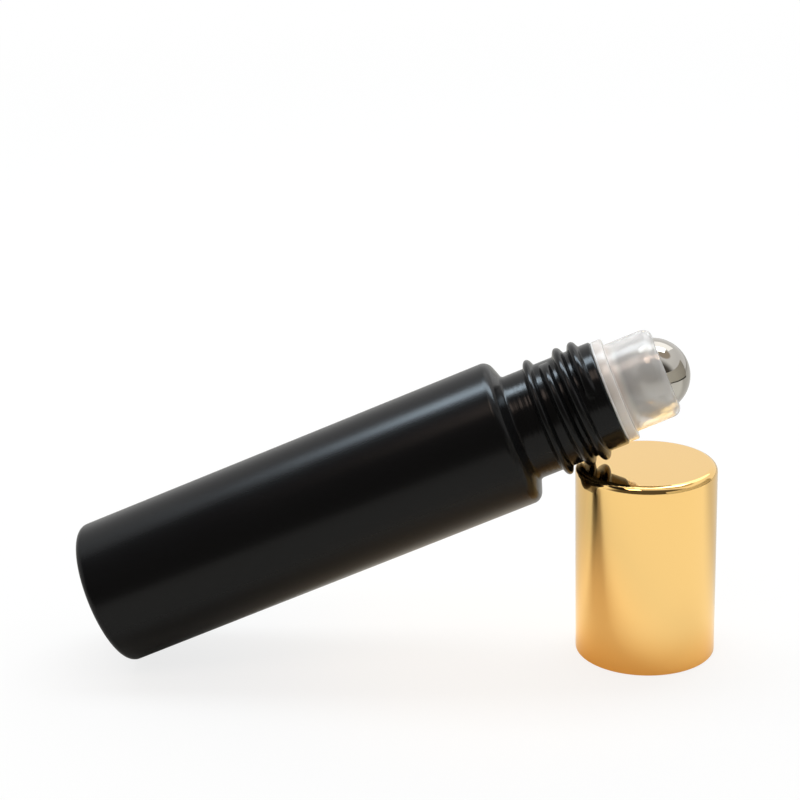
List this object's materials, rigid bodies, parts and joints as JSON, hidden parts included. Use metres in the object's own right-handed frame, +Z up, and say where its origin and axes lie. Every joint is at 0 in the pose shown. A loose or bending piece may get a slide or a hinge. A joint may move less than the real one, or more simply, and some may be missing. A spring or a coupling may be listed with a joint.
{
  "type": "roll-on bottle",
  "caption": "Roll-on bottle of black glass, leaning on its standing gold cap, with a steel ball in a clear plastic housing on the threaded neck.",
  "frame": {"origin": "middle of the table area that the object covers, on the table", "axes": "+X towards the cap and the ball, +Z up from the table, +Y to the back of the picture"},
  "size_m": [0.087, 0.0202, 0.045],
  "materials": {
    "glass_bottle": "satin black lacquer on moulded glass, glossier on the neck",
    "roller_housing": "natural polyethylene, moulded, milky and see-through",
    "roller_ball": "polished stainless steel",
    "cap_shell": "deep drawn, polished and anodised gold",
    "cap_liner": "natural polypropylene, moulded"
  },
  "bodies": {
    "bottle": {"glass_bottle": "glass_bottle"},
    "housing": {"roller_housing": "roller_housing"},
    "ball": {"roller_ball": "roller_ball"},
    "cap": {"cap_shell": "cap_shell", "cap_liner": "cap_liner"}
  },
  "joints": [
    {"name": "cap_slide", "type": "slide", "parent": "bottle", "child": "cap", "axis": [1, 0, 0], "range_m": [0, 0.04]},
    {"name": "housing_pull", "type": "slide", "parent": "bottle", "child": "housing", "axis": [0.9283, 0, 0.3719], "range_m": [0, 0.02]},
    {"name": "ball_roll", "type": "hinge", "parent": "housing", "child": "ball", "pos_m": [0.03474, 0.00015, 0.03896], "axis": [0, 1, 0], "continuous": true}
  ]
}
